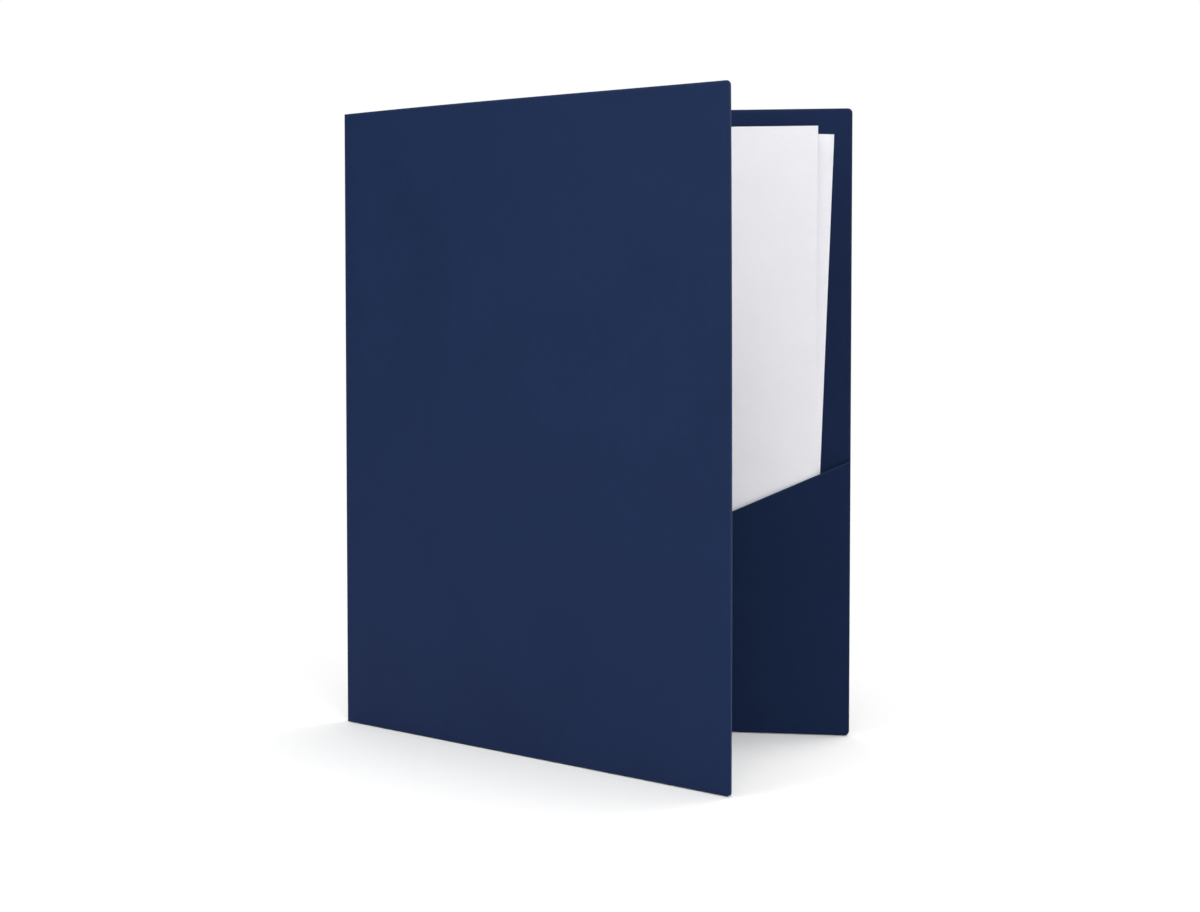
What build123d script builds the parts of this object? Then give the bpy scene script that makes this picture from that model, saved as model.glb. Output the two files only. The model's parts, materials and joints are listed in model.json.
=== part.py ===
"""A two pocket folder of letter size, standing half open on its bottom folds, with loose sheets in one pocket.

The folder is one sheet of board, creased and glued. It is modelled panel by panel, divided at the creases:
two covers joined by the spine fold, and on each cover a pocket that is turned up along a bottom fold and
closed at its outer side by a tab, which is turned in along a side fold and glued to the cover.

Both halves are alike, so the back half is modelled and the front half is its mirror image, swung open about
the spine. All lengths are in millimetres and all angles in degrees. +X runs along the back cover from the
spine to its free edge, +Z is up, and the folder opens towards -Y.
"""

from build123d import *
import math
import os

# The sheets that the folder is made for
SHEET_WIDTH = 215.9
SHEET_HEIGHT = 279.4
SHEET_THICKNESS = 0.1
STRAIGHT_SHEET_COUNT = 6
TILTED_SHEET_COUNT = 4

# The board and the covers
BOARD = 0.45
COVER_EXTRA_WIDTH = 25.4
COVER_EXTRA_HEIGHT = 12.7
CORNER_RADIUS = 2.2
OPENING_ANGLE = 34.0

# The spine fold, and the notch below it that parts the two pockets
CREASE_MARGIN = 1.0
CLOSED_GAP = 0.3
SPINE_FOOT_LIFT = 0.1
NOTCH_GAP = 0.3

# The pockets
POCKET_OUTER_HEIGHT = 128.8
POCKET_INNER_HEIGHT = 26.5
POCKET_SPINE_SETBACK = 8.5
POCKET_MOUTH_RADIUS = 2.0
SHEET_CLEARANCE = 0.15

# The glued tab at each pocket's outer side
TAB_WIDTH = 12.0
TAB_END_ANGLE = 45.0
TAB_FOOT_RELIEF = 1.0
GLUE_THICKNESS = 0.1
GLUE_INSET = 1.5

# Where the two sets of sheets stand in the back pocket
STRAIGHT_SET_FROM_TAB = 3.7
STRAIGHT_SET_LIFT = 3.65
TILTED_SET_FROM_TAB = 6.5
TILTED_SET_ANGLE = 2.1
TILTED_SET_FAN = 0.35
TILTED_SET_STEP = 1.2

# Sizes that follow from those above
COVER_WIDTH = SHEET_WIDTH + COVER_EXTRA_WIDTH
COVER_HEIGHT = SHEET_HEIGHT + COVER_EXTRA_HEIGHT
STRAIGHT_SET_DEPTH = STRAIGHT_SHEET_COUNT * SHEET_THICKNESS
TILTED_SET_DEPTH = TILTED_SHEET_COUNT * SHEET_THICKNESS
POCKET_DEPTH = TILTED_SET_DEPTH + STRAIGHT_SET_DEPTH + 3 * SHEET_CLEARANCE
FOLD_INNER_RADIUS = POCKET_DEPTH / 2
FOLD_OUTER_RADIUS = FOLD_INNER_RADIUS + BOARD
SIDE_OUTER_RADIUS = (POCKET_DEPTH + BOARD - GLUE_THICKNESS) / 2
SIDE_INNER_RADIUS = SIDE_OUTER_RADIUS - BOARD
SPINE_INNER_RADIUS = POCKET_DEPTH + BOARD + CLOSED_GAP / 2
SPINE_OUTER_RADIUS = SPINE_INNER_RADIUS + BOARD

# Places along the cover, counted from the spine's axis
FREE_EDGE = COVER_WIDTH - SPINE_OUTER_RADIUS
SIDE_FOLD_LINE = FREE_EDGE - SIDE_OUTER_RADIUS
TAB_EDGE = FREE_EDGE - TAB_WIDTH
POCKET_INNER_EDGE = POCKET_SPINE_SETBACK - SPINE_OUTER_RADIUS

# Heights above the surface that the folder stands on
CREASE_HEIGHT = FOLD_OUTER_RADIUS
TAB_FOOT = CORNER_RADIUS + TAB_FOOT_RELIEF
SHEET_SEAT_DROP = math.sqrt(FOLD_INNER_RADIUS**2 - (FOLD_INNER_RADIUS - SHEET_CLEARANCE) ** 2)
SHEET_SEAT = CREASE_HEIGHT - SHEET_SEAT_DROP + SHEET_CLEARANCE

# The back cover's inner face: x from the spine's axis along the cover, y up, z into the folder
INNER_FACE = Plane(origin=(0, SPINE_INNER_RADIUS, 0), x_dir=(1, 0, 0), z_dir=(0, -1, 0))


def slab(sketch, start, thickness):
    """A flat piece of the given outline, from start to start + thickness off the cover's inner face."""
    return extrude(INNER_FACE.offset(start) * sketch, amount=thickness)


def area(*points):
    """A flat outline with straight sides through the given points."""
    return make_face(Polyline(*points, close=True))


def half_ring(inner_radius, outer_radius, open_towards):
    """Section of a board that turns back on itself, without the half that lies towards the given side."""
    ring = Circle(outer_radius) - Circle(inner_radius)
    reach = 2 * outer_radius
    away = Pos(open_towards[0] * reach / 2, open_towards[1] * reach / 2)
    return ring - away * Rectangle(reach, reach)


def cover_outline():
    """One cover from the spine's crease to the free edge, with the two free corners rounded."""
    width = FREE_EDGE - CREASE_MARGIN
    sheet = Pos(CREASE_MARGIN, 0) * Rectangle(width, COVER_HEIGHT, align=(Align.MIN, Align.MIN))
    return fillet(sheet.vertices().group_by(Axis.X)[-1], CORNER_RADIUS)


def pocket_outline():
    """The pocket from the crease at its foot to the slanted mouth, inside the cover's rounded corner."""
    corners = (
        (POCKET_INNER_EDGE, 0),
        (FREE_EDGE, 0),
        (FREE_EDGE, POCKET_OUTER_HEIGHT),
        (POCKET_INNER_EDGE, POCKET_INNER_HEIGHT),
    )
    blank = area(*corners)
    mouth_inner_corner = blank.vertices().group_by(Axis.X)[0].sort_by(Axis.Y)[-1]
    return fillet(mouth_inner_corner, POCKET_MOUTH_RADIUS) & cover_outline()


def above_crease(sketch):
    """The part of an outline that lies above the crease of the bottom fold."""
    return sketch - Rectangle(2 * COVER_WIDTH, CREASE_HEIGHT, align=(Align.CENTER, Align.MIN))


def spine_foot():
    """The part of a cover beside the spine that runs on down between the two pockets, nearly to the floor."""
    width = POCKET_INNER_EDGE - NOTCH_GAP - CREASE_MARGIN
    height = CREASE_HEIGHT - SPINE_FOOT_LIFT
    return Pos(CREASE_MARGIN, SPINE_FOOT_LIFT) * Rectangle(width, height, align=(Align.MIN, Align.MIN))


def cover():
    """The flat panel of one cover."""
    return slab(above_crease(cover_outline()) + spine_foot(), -BOARD, BOARD)


def pocket():
    """The flat panel of one pocket, up to the crease of its side fold."""
    beyond_crease = Pos(SIDE_FOLD_LINE, 0) * Rectangle(
        2 * SIDE_OUTER_RADIUS, 2 * COVER_HEIGHT, align=(Align.MIN, Align.CENTER)
    )
    return slab(above_crease(pocket_outline()) - beyond_crease, POCKET_DEPTH, BOARD)


def bottom_fold():
    """The bend along the pocket's foot, which the folder stands on, rounded off at the free corner."""
    middle = SPINE_INNER_RADIUS - FOLD_INNER_RADIUS
    section_plane = Plane(origin=(POCKET_INNER_EDGE, middle, CREASE_HEIGHT), x_dir=(0, 1, 0), z_dir=(1, 0, 0))
    section = section_plane * half_ring(FOLD_INNER_RADIUS, FOLD_OUTER_RADIUS, (0, 1))
    strip = extrude(section, amount=FREE_EDGE - POCKET_INNER_EDGE)
    return strip & slab(cover_outline(), -BOARD, POCKET_DEPTH + 2 * BOARD)


def side_fold():
    """The bend at the pocket's outer side, cut off along the line of the mouth."""
    middle = SPINE_INNER_RADIUS - GLUE_THICKNESS - SIDE_OUTER_RADIUS
    section = Pos(SIDE_FOLD_LINE, middle, TAB_FOOT) * half_ring(SIDE_INNER_RADIUS, SIDE_OUTER_RADIUS, (-1, 0))
    strip = extrude(section, amount=COVER_HEIGHT)
    return strip & slab(pocket_outline(), 0, POCKET_DEPTH + BOARD)


def tab_outline():
    """The tab behind the pocket's outer side, with both ends cut off at a slant."""
    width = SIDE_FOLD_LINE - TAB_EDGE
    end_cut = width * math.tan(math.radians(TAB_END_ANGLE))
    mouth_rise = (POCKET_OUTER_HEIGHT - POCKET_INNER_HEIGHT) / (FREE_EDGE - POCKET_INNER_EDGE)
    head = POCKET_OUTER_HEIGHT - SIDE_OUTER_RADIUS * mouth_rise
    return area(
        (SIDE_FOLD_LINE, TAB_FOOT),
        (SIDE_FOLD_LINE, head),
        (TAB_EDGE, head - end_cut),
        (TAB_EDGE, TAB_FOOT + end_cut),
    )


def glue_tab():
    """The tab, lying on its adhesive."""
    return slab(tab_outline(), GLUE_THICKNESS, BOARD)


def glue_strip():
    """The adhesive between the tab and the cover, set in from the tab's edges."""
    return slab(offset(tab_outline(), -GLUE_INSET, kind=Kind.INTERSECTION), 0, GLUE_THICKNESS)


def spine_fold():
    """The bend between the covers, about the spine's axis, with the flat margins up to the covers' creases."""
    bend_angle = 180 - OPENING_ANGLE
    bend = half_ring(SPINE_INNER_RADIUS, SPINE_OUTER_RADIUS, (1, 0))
    front_side = Rot(Z=-OPENING_ANGLE) * Pos(SPINE_OUTER_RADIUS, 0) * Rectangle(
        2 * SPINE_OUTER_RADIUS, 4 * SPINE_OUTER_RADIUS
    )
    margin = Pos(0, SPINE_INNER_RADIUS) * Rectangle(CREASE_MARGIN, BOARD, align=(Align.MIN, Align.MIN))
    far_margin = Rot(Z=bend_angle) * Pos(0, SPINE_INNER_RADIUS) * Rectangle(
        CREASE_MARGIN, BOARD, align=(Align.MAX, Align.MIN)
    )
    section = (bend - front_side) + margin + far_margin
    return extrude(Pos(0, 0, SPINE_FOOT_LIFT) * section, amount=COVER_HEIGHT - SPINE_FOOT_LIFT)


def sheet_set(count, start, edge, height, tilt, fan=0, step=0):
    """Sheets lying face to face, turned by tilt about their lower outer corner, nearest to the cover first.

    Towards the last sheet the turn falls by fan, and the corner moves towards the spine by step.
    """
    blank = Rectangle(SHEET_WIDTH, SHEET_HEIGHT, align=(Align.MAX, Align.MIN))
    sheets = []
    for index in range(count):
        share = index / max(1, count - 1)
        placed = Pos(edge - share * step, height) * Rot(Z=share * fan - tilt) * blank
        sheets.append(slab(placed, start + index * SHEET_THICKNESS, SHEET_THICKNESS))
    return sheets


def half_folder():
    """The pieces of the back half, by name."""
    return {
        "cover": cover(),
        "pocket": pocket(),
        "pocket_fold": bottom_fold(),
        "side_fold": side_fold(),
        "glue_tab": glue_tab(),
        "glue_strip": glue_strip(),
    }


def opened(piece):
    """A piece of the back half as it lies in the front half: mirrored, then swung open about the spine."""
    return Rot(Z=-OPENING_ANGLE) * mirror(piece, about=Plane.XZ)


def assembly():
    """Every piece of the folder in place, by name, with the spine's axis on the Z axis."""
    pieces = {"spine_fold": spine_fold()}
    for name, piece in half_folder().items():
        pieces[f"back_{name}"] = piece
        pieces[f"front_{name}"] = opened(piece)
    tilted = sheet_set(
        TILTED_SHEET_COUNT,
        SHEET_CLEARANCE,
        TAB_EDGE - TILTED_SET_FROM_TAB,
        SHEET_SEAT,
        TILTED_SET_ANGLE,
        TILTED_SET_FAN,
        TILTED_SET_STEP,
    )
    straight = sheet_set(
        STRAIGHT_SHEET_COUNT,
        SHEET_CLEARANCE + TILTED_SET_DEPTH + SHEET_CLEARANCE,
        TAB_EDGE - STRAIGHT_SET_FROM_TAB,
        SHEET_SEAT + STRAIGHT_SET_LIFT,
        0,
    )
    for set_name, sheets in (("tilted", tilted), ("straight", straight)):
        for number, sheet in enumerate(sheets, start=1):
            pieces[f"{set_name}_sheet_{number}"] = sheet
    return pieces


def origin_shift(pieces):
    """The move that brings the middle of the folder's footprint to the origin."""
    box = Compound(children=[Compound(piece.solids()) for piece in pieces.values()]).bounding_box()
    return Vector(-box.center().X, -box.center().Y, -box.min.Z)


PIECES = assembly()
SHIFT = origin_shift(PIECES)

os.makedirs("parts", exist_ok=True)
for piece_name, piece_shape in PIECES.items():
    export_step(Pos(SHIFT) * piece_shape, f"parts/{piece_name}.step")
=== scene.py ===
"""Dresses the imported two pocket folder: two halves of navy board, the spine fold and the loose sheets.

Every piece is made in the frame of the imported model, in metres. Places on one half of the folder are given
as (along, inward, up): along the cover from the spine's axis, inward from the cover's inner face into the
folder, and up from the floor. Each half has a space that turns such a place into a point of the frame.
"""

import json
import logging
import math
from dataclasses import dataclass
from enum import Enum
from typing import Any, Callable, Sequence

import bmesh
import bpy
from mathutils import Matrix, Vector


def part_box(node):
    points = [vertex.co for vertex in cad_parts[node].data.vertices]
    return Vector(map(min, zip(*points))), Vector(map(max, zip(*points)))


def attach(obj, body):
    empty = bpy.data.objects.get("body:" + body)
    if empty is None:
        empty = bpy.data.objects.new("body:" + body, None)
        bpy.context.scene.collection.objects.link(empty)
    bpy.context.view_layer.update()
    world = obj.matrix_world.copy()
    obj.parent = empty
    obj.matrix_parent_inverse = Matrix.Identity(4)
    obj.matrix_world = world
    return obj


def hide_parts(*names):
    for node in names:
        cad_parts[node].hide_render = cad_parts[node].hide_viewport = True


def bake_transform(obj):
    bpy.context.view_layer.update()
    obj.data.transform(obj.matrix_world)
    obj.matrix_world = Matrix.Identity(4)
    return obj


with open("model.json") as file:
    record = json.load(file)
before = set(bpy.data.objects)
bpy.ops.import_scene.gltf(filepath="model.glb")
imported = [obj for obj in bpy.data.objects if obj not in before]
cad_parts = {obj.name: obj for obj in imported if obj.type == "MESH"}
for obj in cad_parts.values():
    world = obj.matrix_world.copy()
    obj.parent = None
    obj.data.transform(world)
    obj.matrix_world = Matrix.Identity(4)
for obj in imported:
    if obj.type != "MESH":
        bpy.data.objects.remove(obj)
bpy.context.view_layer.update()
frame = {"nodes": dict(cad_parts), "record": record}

LOG = logging.getLogger("folder")

Colour = tuple[float, float, float, float]
FlatPoint = tuple[float, float]
Point = tuple[float, float, float]
Placer = Callable[[Vector], Vector]

EDGE_FADE = "edge_fade"
EDGE_FADE_REACH = 0.0018
SHEET_SHARE = "sheet_share"
SHEET_SETS = ("straight_sheet_set", "tilted_sheet_set")
SHARP_ANGLE = math.radians(50.0)
TOUCH = 1e-6
NOISE_BAND = (0.3, 0.7)
FOLDER_MIDDLE: Point = (0.0, 0.0, 0.15)

NAVY_DEEP: Colour = (0.0076, 0.0172, 0.0545, 1.0)
NAVY_LIGHT: Colour = (0.0085, 0.0192, 0.0605, 1.0)
# Paler navy for fibre flecks and for edges and fold crests, where it is partly rubbing and partly a painted
# highlight.
NAVY_WORN_AND_HIGHLIT: Colour = (0.024, 0.038, 0.080, 1.0)
# Paler colours of the cut edges: partly a lighter cut core, partly a painted edge highlight.
CUT_PALE_AND_HIGHLIT: Colour = (0.06, 0.09, 0.16, 1.0)
CUT_WORN_AND_HIGHLIT: Colour = (0.10, 0.13, 0.20, 1.0)
WHITE: Colour = (1.0, 1.0, 1.0, 1.0)


class Side(Enum):
    """The two halves of the folder, which are mirror images of each other."""

    BACK = "back"
    FRONT = "front"

    @property
    def body(self) -> str:
        """The name of the body that this half is."""
        return f"{self.value}_half"


class Slot(Enum):
    """The record's material slots for the kinds of piece made here."""

    BOARD = "cover_board"
    PAPER = "sheet_paper"


class Socket(Enum):
    """The kinds of socket that the node groups here have."""

    FLOAT = "NodeSocketFloat"
    COUNT = "NodeSocketInt"
    VECTOR = "NodeSocketVector"
    MATERIAL = "NodeSocketMaterial"
    GEOMETRY = "NodeSocketGeometry"


def clamped(value: float) -> float:
    """A value kept between 0 and 1."""
    return min(1.0, max(0.0, value))


@dataclass(frozen=True)
class FolderSizes:
    """Sizes and places of the folder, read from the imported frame, in metres and radians."""

    hinge: Vector
    opening: float
    inner_face: float
    board: float
    free_edge: float
    spine_foot: float
    top: float
    pocket_depth: float
    pocket_inner_edge: float
    mouth_outer_height: float
    mouth_rise: float
    tab_edge: float
    tab_foot: float
    glue: float
    sheet: Vector
    corner_radius: float = 0.0022
    mouth_radius: float = 0.002
    notch_gap: float = 0.0003

    @classmethod
    def read(cls, record: dict[str, Any]) -> "FolderSizes":
        """Works the sizes out from the boxes of the back half's nodes and from the hinge.

        Args:
            record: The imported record.

        Returns:
            The sizes.
        """
        joints = {joint["name"]: joint for joint in record["behaviour"]["joints"]}
        hinge = Vector(joints["cover_hinge"]["pos_m"])
        cover_low, cover_high = (Vector(corner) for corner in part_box("back_cover"))
        pocket_low, pocket_high = (Vector(corner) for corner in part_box("back_pocket"))
        tab_low, tab_high = (Vector(corner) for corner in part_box("back_glue_tab"))
        side_high = Vector(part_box("back_side_fold")[1])
        sheet_low, sheet_high = (Vector(corner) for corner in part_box("straight_sheet_1"))
        inner_face = cover_low.y - hinge.y
        return cls(
            hinge=hinge,
            opening=math.radians(-joints["cover_hinge"]["range_deg"][0]),
            inner_face=inner_face,
            board=cover_high.y - cover_low.y,
            free_edge=cover_high.x - hinge.x,
            spine_foot=cover_low.z,
            top=cover_high.z,
            pocket_depth=inner_face - (pocket_high.y - hinge.y),
            pocket_inner_edge=pocket_low.x - hinge.x,
            mouth_outer_height=side_high.z,
            mouth_rise=(side_high.z - pocket_high.z) / (side_high.x - pocket_high.x),
            tab_edge=tab_low.x - hinge.x,
            tab_foot=tab_low.z,
            glue=inner_face - (tab_high.y - hinge.y),
            sheet=sheet_high - sheet_low,
        )

    def mouth_height(self, along: float) -> float:
        """The height of the slanted pocket mouth at a place along the cover."""
        return self.mouth_outer_height - self.mouth_rise * (self.free_edge - along)

    def corner_reach(self, up: float) -> float:
        """How far along the cover the rounded lower free corner lets the board go.

        Args:
            up: The height, in metres.

        Returns:
            The furthest place along the cover at that height.
        """
        radius = self.corner_radius
        below = max(0.0, radius - up)
        return self.free_edge - radius + math.sqrt(max(0.0, radius**2 - below**2))


@dataclass(frozen=True)
class CoverBow:
    """How a standing cover bows outwards: most at its top, a little way out from the spine.

    Attributes:
        rise: The bow at the top edge, in metres.
        twist: How far the top free corner stands out, in metres.
        fall: The power by which the bow dies away towards the free edge.
        peak: The highest value of that curve, by which it is divided.
        rise_power: The power by which the bow grows towards the top.
        twist_power: The power by which the twist grows towards the top.
    """

    rise: float = 0.0
    twist: float = 0.0
    fall: float = 1.7
    peak: float = 0.1687
    rise_power: float = 2.0
    twist_power: float = 2.5

    def lift(self, along: float, up: float) -> float:
        """How far the cover stands out at a place.

        Args:
            along: Share of the way from the spine to the free edge.
            up: Share of the way from the foot to the top.

        Returns:
            The distance outwards, in metres.
        """
        along = clamped(along)
        up = clamped(up)
        hump = along * (1.0 - along) ** self.fall / self.peak
        return self.rise * hump * up**self.rise_power + self.twist * along * up**self.twist_power


@dataclass(frozen=True)
class HalfSpace:
    """Turns places on one half of the folder into points of the frame."""

    sizes: FolderSizes
    side: Side
    bow: CoverBow

    def place(self, spot: Vector) -> Vector:
        """The point of the frame for a place on this half.

        Args:
            spot: Along the cover, inward from its inner face, and up.

        Returns:
            The point, in metres.
        """
        sizes = self.sizes
        along, inward, up = spot
        inward -= self.bow.lift(along / sizes.free_edge, up / sizes.top)
        if self.side is Side.BACK:
            return sizes.hinge + Vector((along, sizes.inner_face - inward, up))
        across = inward - sizes.inner_face
        cosine = math.cos(sizes.opening)
        sine = math.sin(sizes.opening)
        return sizes.hinge + Vector((along * cosine + across * sine, across * cosine - along * sine, up))


class NodeSketch:
    """A node tree being drawn: adds nodes, sets their sockets and joins them."""

    def __init__(self, tree: bpy.types.NodeTree) -> None:
        """Starts on an existing tree."""
        self.tree = tree

    def add(self, kind: str, sockets: dict[int | str, Any] | None = None, **settings: Any) -> bpy.types.Node:
        """Adds a node.

        Args:
            kind: The node's type name.
            sockets: Values, or outputs to join, by input name or number.
            **settings: The node's own properties.

        Returns:
            The new node.
        """
        node = self.tree.nodes.new(kind)
        for key, value in settings.items():
            setattr(node, key, value)
        for key, value in (sockets or {}).items():
            if isinstance(value, bpy.types.NodeSocket):
                self.tree.links.new(value, node.inputs[key])
            else:
                node.inputs[key].default_value = value
        return node

    def math(self, operation: str, *values: Any) -> bpy.types.NodeSocket:
        """Adds a Math node and gives back its result."""
        return self.add("ShaderNodeMath", dict(enumerate(values)), operation=operation).outputs[0]

    def ramp(self, value: Any, low: Any, high: Any, start: float, end: float) -> bpy.types.NodeSocket:
        """Eases a value that runs from low to high into one that runs from start to end."""
        sockets = {0: value, 1: low, 2: high, 3: start, 4: end}
        return self.add("ShaderNodeMapRange", sockets, interpolation_type="SMOOTHSTEP").outputs[0]

    def mix(self, share: Any, first: Any, second: Any) -> bpy.types.NodeSocket:
        """Mixes two colours by a share. Inputs 6 and 7 and output 2 of the node are its colours."""
        return self.add("ShaderNodeMix", {0: share, 6: first, 7: second}, data_type="RGBA").outputs[2]

    def noise(self, vector: Any, scale: Any, detail: float, roughness: float) -> bpy.types.NodeSocket:
        """Adds a noise texture and gives back its value."""
        sockets = {"Vector": vector, "Scale": scale, "Detail": detail, "Roughness": roughness}
        return self.add("ShaderNodeTexNoise", sockets).outputs["Fac"]

    def vector(self, x: Any = 0.0, y: Any = 0.0, z: Any = 0.0) -> bpy.types.NodeSocket:
        """Puts a vector together from its parts."""
        return self.add("ShaderNodeCombineXYZ", {0: x, 1: y, 2: z}).outputs[0]

    def object_coords(self) -> bpy.types.NodeSocket:
        """The piece's own coordinates, which are those of the frame."""
        return self.add("ShaderNodeTexCoord").outputs["Object"]

    def surface(self, colour: Any, rough: Any, height: Any, bump_depth: float, specular: float) -> None:
        """Ends a material in one surface with a fine bump.

        Args:
            colour: Its colour.
            rough: Its roughness.
            height: The height of the bump, from 0 to 1.
            bump_depth: The depth of the bump, in metres.
            specular: The level of its sheen.
        """
        sockets = {"Strength": 1.0, "Distance": bump_depth, "Height": height}
        bump = self.add("ShaderNodeBump", sockets).outputs[0]
        sockets = {"Base Color": colour, "Roughness": rough, "Normal": bump, "Specular IOR Level": specular}
        shader = self.add("ShaderNodeBsdfPrincipled", sockets).outputs[0]
        self.add("ShaderNodeOutputMaterial", {"Surface": shader})


def new_group(
    name: str, kind: str, inputs: dict[str, Socket], outputs: dict[str, Socket]
) -> bpy.types.NodeTree:
    """Makes a node group with named sockets.

    Args:
        name: The group's name.
        kind: The type of tree.
        inputs: Kinds of socket by input name.
        outputs: Kinds of socket by output name.

    Returns:
        The empty group.
    """
    tree = bpy.data.node_groups.new(name, kind)
    for direction, sockets in (("INPUT", inputs), ("OUTPUT", outputs)):
        for socket_name, socket in sockets.items():
            tree.interface.new_socket(name=socket_name, in_out=direction, socket_type=socket.value)
    return tree


def new_material(name: str) -> tuple[bpy.types.Material, NodeSketch]:
    """Makes an empty node material.

    Args:
        name: The material's name.

    Returns:
        The material and a sketch on its tree.
    """
    material = bpy.data.materials.new(name)
    material.use_nodes = True
    material.node_tree.nodes.clear()
    return material, NodeSketch(material.node_tree)


class PaperEffects:
    """The effects that the board and the paper share, as shader node groups.

    Attributes:
        cloud_weight: The share of the clouds in the tint, where the rest is mottle.
        mottle_weight: The share of the mottle in the height, where the rest is fibre.
        break_up: How far noise moves the line at which the rubbing and painted edge highlight end, as a
            share of the edge fade.
    """

    cloud_weight: float = 0.6
    mottle_weight: float = 0.5
    break_up: float = 0.6

    def __init__(self) -> None:
        """Builds both groups."""
        self.fibre = self._fibre_group()
        self.rub_and_highlight = self._rub_and_highlight_group()

    def _fibre_group(self) -> bpy.types.NodeTree:
        """Clouds, mottle and upright fibres of pressed paper.

        Returns:
            The group, which puts out a cloud share, a fibre share and a height.
        """
        scales = ("Cloud Scale", "Mottle Scale", "Fibre Scale", "Fibre Stretch")
        inputs = {"Vector": Socket.VECTOR} | dict.fromkeys(scales, Socket.FLOAT)
        outputs = dict.fromkeys(("Cloud", "Fibre", "Height"), Socket.FLOAT)
        tree = new_group("Paper Fibre", "ShaderNodeTree", inputs, outputs)
        sketch = NodeSketch(tree)
        given = sketch.add("NodeGroupInput").outputs
        spot = given["Vector"]
        cloud = sketch.noise(spot, given["Cloud Scale"], detail=3.0, roughness=0.5)
        mottle = sketch.noise(spot, given["Mottle Scale"], detail=4.0, roughness=0.6)
        squeeze = sketch.vector(1.0, 1.0, given["Fibre Stretch"])
        drawn = sketch.add("ShaderNodeVectorMath", {0: spot, 1: squeeze}, operation="MULTIPLY").outputs[0]
        strands = sketch.noise(drawn, given["Fibre Scale"], detail=3.0, roughness=0.6)
        fibre = sketch.ramp(strands, *NOISE_BAND, 0.0, 1.0)
        mottle_tint = sketch.math("MULTIPLY", mottle, 1.0 - self.cloud_weight)
        tint = sketch.math("MULTIPLY_ADD", cloud, self.cloud_weight, mottle_tint)
        fibre_height = sketch.math("MULTIPLY", fibre, 1.0 - self.mottle_weight)
        height = sketch.math("MULTIPLY_ADD", mottle, self.mottle_weight, fibre_height)
        sketch.add("NodeGroupOutput", {"Cloud": tint, "Fibre": fibre, "Height": height})
        return tree

    def _rub_and_highlight_group(self) -> bpy.types.NodeTree:
        """Rubbing and a painted edge highlight that start at an edge and break up away from it.

        Returns:
            The group, which puts out the share of rubbing and painted highlight.
        """
        inputs = {"Vector": Socket.VECTOR} | dict.fromkeys(("Fade", "Reach", "Break Scale"), Socket.FLOAT)
        tree = new_group("Edge Rub And Highlight", "ShaderNodeTree", inputs, {"Rub And Highlight": Socket.FLOAT})
        sketch = NodeSketch(tree)
        given = sketch.add("NodeGroupInput").outputs
        broken = sketch.noise(given["Vector"], given["Break Scale"], detail=3.0, roughness=0.6)
        swing = sketch.math("SUBTRACT", broken, 0.5)
        distance = sketch.math("MULTIPLY_ADD", swing, self.break_up, given["Fade"])
        sketch.add("NodeGroupOutput", {"Rub And Highlight": sketch.ramp(distance, 0.0, given["Reach"], 1.0, 0.0)})
        return tree


@dataclass(frozen=True)
class FibreScales:
    """How fine a finish's clouds, mottle and fibres are. A low stretch draws the fibres out upwards."""

    cloud: float
    mottle: float
    fibre: float
    stretch: float

    def place(self, sketch: NodeSketch, effects: PaperEffects) -> bpy.types.bpy_prop_collection:
        """Places the fibre effect in a material.

        Args:
            sketch: The sketch on the material's tree.
            effects: The shared paper effects.

        Returns:
            The effect's outputs: Cloud, Fibre and Height.
        """
        sockets = {
            "Vector": sketch.object_coords(),
            "Cloud Scale": self.cloud,
            "Mottle Scale": self.mottle,
            "Fibre Scale": self.fibre,
            "Fibre Stretch": self.stretch,
        }
        return sketch.add("ShaderNodeGroup", sockets, node_tree=effects.fibre).outputs


@dataclass(frozen=True)
class BoardFinish:
    """Matte board, dyed right through: cloudy, finely fibred, and paler along edges and fold crests, partly
    from rubbing and partly as a painted highlight.
    """

    name: str
    deep: Colour
    light: Colour
    worn_and_highlit: Colour
    rub_and_highlight_share: float
    rub_and_highlight_reach: float = 0.6
    rub_and_highlight_scale: float = 420.0
    fleck_share: float = 0.08
    roughness: float = 0.55
    roughness_swing: float = 0.08
    specular: float = 0.05
    bump_depth: float = 0.00003
    scales: FibreScales = FibreScales(cloud=22.0, mottle=190.0, fibre=2600.0, stretch=0.12)

    def build(self, effects: PaperEffects) -> bpy.types.Material:
        """Makes the material.

        Args:
            effects: The shared paper effects.

        Returns:
            The material.
        """
        material, sketch = new_material(self.name)
        fibre = self.scales.place(sketch, effects)
        wear_sockets = {
            "Vector": sketch.object_coords(),
            "Fade": sketch.add("ShaderNodeAttribute", attribute_name=EDGE_FADE).outputs["Fac"],
            "Reach": self.rub_and_highlight_reach,
            "Break Scale": self.rub_and_highlight_scale,
        }
        rub_and_highlight = sketch.add("ShaderNodeGroup", wear_sockets, node_tree=effects.rub_and_highlight).outputs["Rub And Highlight"]
        dyed = sketch.mix(sketch.ramp(fibre["Cloud"], *NOISE_BAND, 0.0, 1.0), self.deep, self.light)
        flecked = sketch.mix(sketch.math("MULTIPLY", fibre["Fibre"], self.fleck_share), dyed, self.worn_and_highlit)
        # Paler along edges and fold crests: partly rubbing, partly a painted edge highlight.
        rubbed_and_highlit = sketch.mix(sketch.math("MULTIPLY", rub_and_highlight, self.rub_and_highlight_share), flecked, self.worn_and_highlit)
        rough = sketch.math("MULTIPLY_ADD", fibre["Fibre"], self.roughness_swing, self.roughness)
        sketch.surface(rubbed_and_highlit, rough, fibre["Height"], self.bump_depth, self.specular)
        return material


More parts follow.
